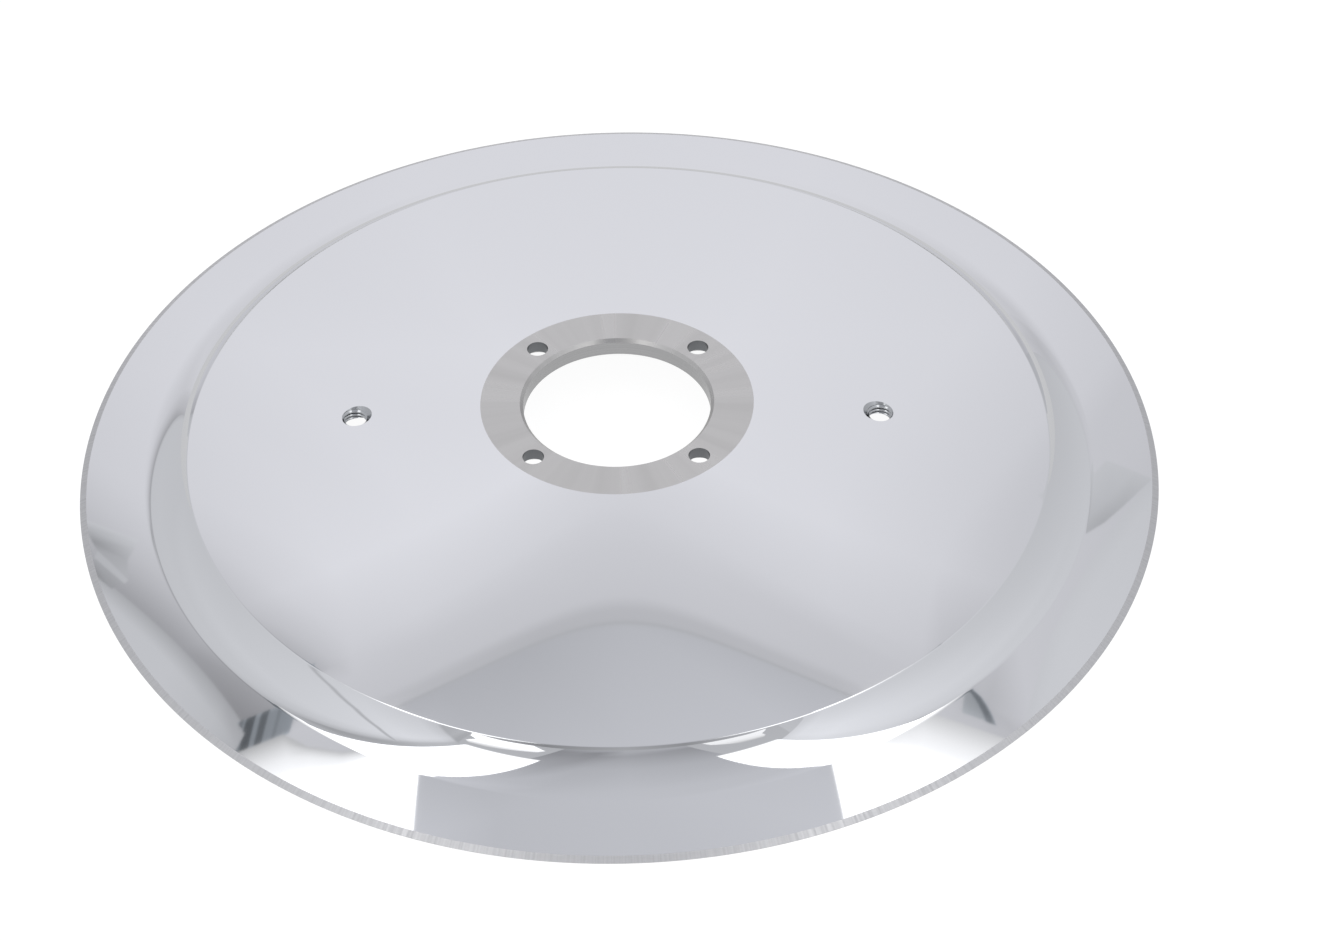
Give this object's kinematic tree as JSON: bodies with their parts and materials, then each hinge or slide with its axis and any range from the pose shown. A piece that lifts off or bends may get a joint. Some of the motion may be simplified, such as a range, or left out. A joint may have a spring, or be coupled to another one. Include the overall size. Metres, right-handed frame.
{
  "type": "food slicer blade",
  "caption": "Round dished steel slicer blade with a sharp ground rim, a raised hub face, a central bore, screw holes and tapped extractor holes.",
  "frame": {"origin": "on the bore axis, in the plane of the cutting edge", "axes": "+Z along the bore axis, from the cutting edge towards the hub's seating face; the extractor holes lie on the X axis"},
  "size_m": [0.33, 0.33, 0.0225],
  "materials": {
    "polished_steel": "mirror polished, with a turned hub face and a ground cutting bevel"
  },
  "bodies": {
    "root": {"blade": "polished_steel"}
  },
  "joints": []
}
